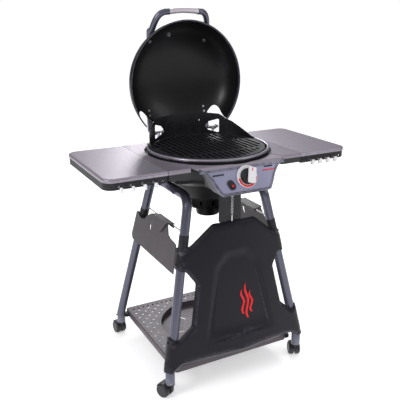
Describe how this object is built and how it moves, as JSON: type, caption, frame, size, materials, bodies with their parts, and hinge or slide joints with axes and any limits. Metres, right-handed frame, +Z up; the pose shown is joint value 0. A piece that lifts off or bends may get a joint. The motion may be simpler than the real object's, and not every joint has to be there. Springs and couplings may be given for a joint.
{
  "type": "charbroiler grill",
  "caption": "Freestanding round gas grill with hinged domed lid, folding side shelves, control console and splayed tube cart on swivel casters, shown with the lid open.",
  "frame": {"origin": "on the floor, below the middle of the grill's outer box", "axes": "+X to the user's right, +Y to the back, +Z up; the console faces -Y"},
  "size_m": [1.022, 0.6481, 1.4324],
  "materials": {
    "frame_paint": "blue-grey powder coat",
    "shelf_paint": "metallic mauve-grey powder coat",
    "console_paint": "metallic lavender-grey paint",
    "black_enamel": "semi-gloss black porcelain enamel",
    "cast_grate": "matt black enamelled cast iron",
    "tray_paint": "dark grey powder coat",
    "panel_plastic": "moulded blue-black, fine grain",
    "black_plastic": "moulded black",
    "side_plastic": "moulded dark grey",
    "ring_steel": "satin plated",
    "bright_steel": "zinc plated",
    "grip_metal": "satin",
    "white_plastic": "gloss",
    "red_plastic": "gloss",
    "caster_plastic": "moulded dark grey nylon",
    "ceramic": "glazed ceramic",
    "brass": "machined"
  },
  "bodies": {
    "cart": {"left_leg_frame": "frame_paint", "right_leg_frame": "frame_paint", "leg_sleeves": "frame_paint", "caster_sockets": "black_plastic", "bottom_tray": "tray_paint", "tray_spacers": "black_plastic", "front_panel": "panel_plastic", "panel_symbol": "red_plastic", "left_side_panel": "side_plastic", "right_side_panel": "side_plastic", "panel_rods": "bright_steel", "bowl": "black_enamel", "rim_ring": "ring_steel", "grate_ledge": "black_enamel", "heat_shield": "black_enamel", "burner": "bright_steel", "emitter": "black_enamel", "rear_guard": "black_enamel", "hinge_brackets": "ring_steel", "hinge_pins": "bright_steel", "left_deck": "shelf_paint", "right_deck": "shelf_paint", "deck_struts": "frame_paint", "console": "console_paint", "console_housing": "black_plastic", "bezel": "white_plastic", "igniter_housing": "black_plastic", "gas_valve": "brass", "igniter_electrode": "ceramic", "match_chain": "bright_steel", "shelf_hinges": "ring_steel", "shelf_pins": "bright_steel"},
    "lid": {"lid_shell": "black_enamel", "lid_band": "frame_paint", "lid_straps": "ring_steel", "lid_bolts": "bright_steel", "lid_gauge": "bright_steel", "handle_grip": "grip_metal", "handle_arms": "frame_paint"},
    "left_shelf": {"left_shelf_top": "shelf_paint", "left_shelf_frame": "black_plastic", "left_hooks": "bright_steel", "left_hook_tips": "white_plastic"},
    "right_shelf": {"right_shelf_top": "shelf_paint", "right_shelf_frame": "black_plastic", "right_hooks": "bright_steel", "right_hook_tips": "white_plastic"},
    "knob": {"knob": "black_plastic", "knob_bar": "white_plastic"},
    "igniter_button": {"igniter_button": "red_plastic"},
    "grate": {"grate": "cast_grate"},
    "grease_cup": {"grease_cup": "black_enamel"},
    "front_left_caster": {"caster_front_left_fork": "caster_plastic"},
    "front_left_wheels": {"caster_front_left_wheels": "caster_plastic"},
    "front_right_caster": {"caster_front_right_fork": "caster_plastic"},
    "front_right_wheels": {"caster_front_right_wheels": "caster_plastic"},
    "back_left_caster": {"caster_back_left_fork": "caster_plastic"},
    "back_left_wheels": {"caster_back_left_wheels": "caster_plastic"},
    "back_right_caster": {"caster_back_right_fork": "caster_plastic"},
    "back_right_wheels": {"caster_back_right_wheels": "caster_plastic"}
  },
  "joints": [
    {"name": "lid_hinge", "type": "hinge", "parent": "cart", "child": "lid", "pos_m": [0, 0.181, 0.944], "axis": [1, 0, 0], "range_deg": [0, 90.7]},
    {"name": "left_shelf_fold", "type": "hinge", "parent": "cart", "child": "left_shelf", "pos_m": [-0.2814, -0.02, 0.8575], "axis": [0, -1, 0], "range_deg": [0, 90]},
    {"name": "right_shelf_fold", "type": "hinge", "parent": "cart", "child": "right_shelf", "pos_m": [0.2814, -0.02, 0.8575], "axis": [0, 1, 0], "range_deg": [0, 90]},
    {"name": "knob_turn", "type": "hinge", "parent": "cart", "child": "knob", "pos_m": [0.008, -0.28719, 0.855], "axis": [0, 0.9331, -0.3596], "range_deg": [-150, 0]},
    {"name": "igniter_press", "type": "slide", "parent": "cart", "child": "igniter_button", "axis": [0, 0.9331, -0.3596], "range_m": [0, 0.003], "stiffness_N_per_m": 600, "springref_m": -0.003},
    {"name": "grate_lift", "type": "slide", "parent": "cart", "child": "grate", "axis": [0, 0.4472, -0.8944], "range_m": [-0.12, 0]},
    {"name": "grease_cup_drop", "type": "slide", "parent": "cart", "child": "grease_cup", "axis": [0, 0, -1], "range_m": [0, 0.08]},
    {"name": "front_left_swivel", "type": "hinge", "parent": "cart", "child": "front_left_caster", "pos_m": [-0.296, -0.259, 0.06], "axis": [0, 0, 1], "continuous": true},
    {"name": "front_left_spin", "type": "hinge", "parent": "front_left_caster", "child": "front_left_wheels", "pos_m": [-0.30698, -0.23433, 0.028], "axis": [0.9135, 0.4067, 0], "continuous": true},
    {"name": "front_right_swivel", "type": "hinge", "parent": "cart", "child": "front_right_caster", "pos_m": [0.296, -0.259, 0.06], "axis": [0, 0, 1], "continuous": true},
    {"name": "front_right_spin", "type": "hinge", "parent": "front_right_caster", "child": "front_right_wheels", "pos_m": [0.30698, -0.23433, 0.028], "axis": [0.9135, -0.4067, 0], "continuous": true},
    {"name": "back_left_swivel", "type": "hinge", "parent": "cart", "child": "back_left_caster", "pos_m": [-0.296, 0.265, 0.06], "axis": [0, 0, 1], "continuous": true},
    {"name": "back_left_spin", "type": "hinge", "parent": "back_left_caster", "child": "back_left_wheels", "pos_m": [-0.29788, 0.29193, 0.028], "axis": [0.9976, 0.0698, 0], "continuous": true},
    {"name": "back_right_swivel", "type": "hinge", "parent": "cart", "child": "back_right_caster", "pos_m": [0.296, 0.265, 0.06], "axis": [0, 0, 1], "continuous": true},
    {"name": "back_right_spin", "type": "hinge", "parent": "back_right_caster", "child": "back_right_wheels", "pos_m": [0.30069, 0.29159, 0.028], "axis": [0.9848, -0.1736, 0], "continuous": true}
  ]
}
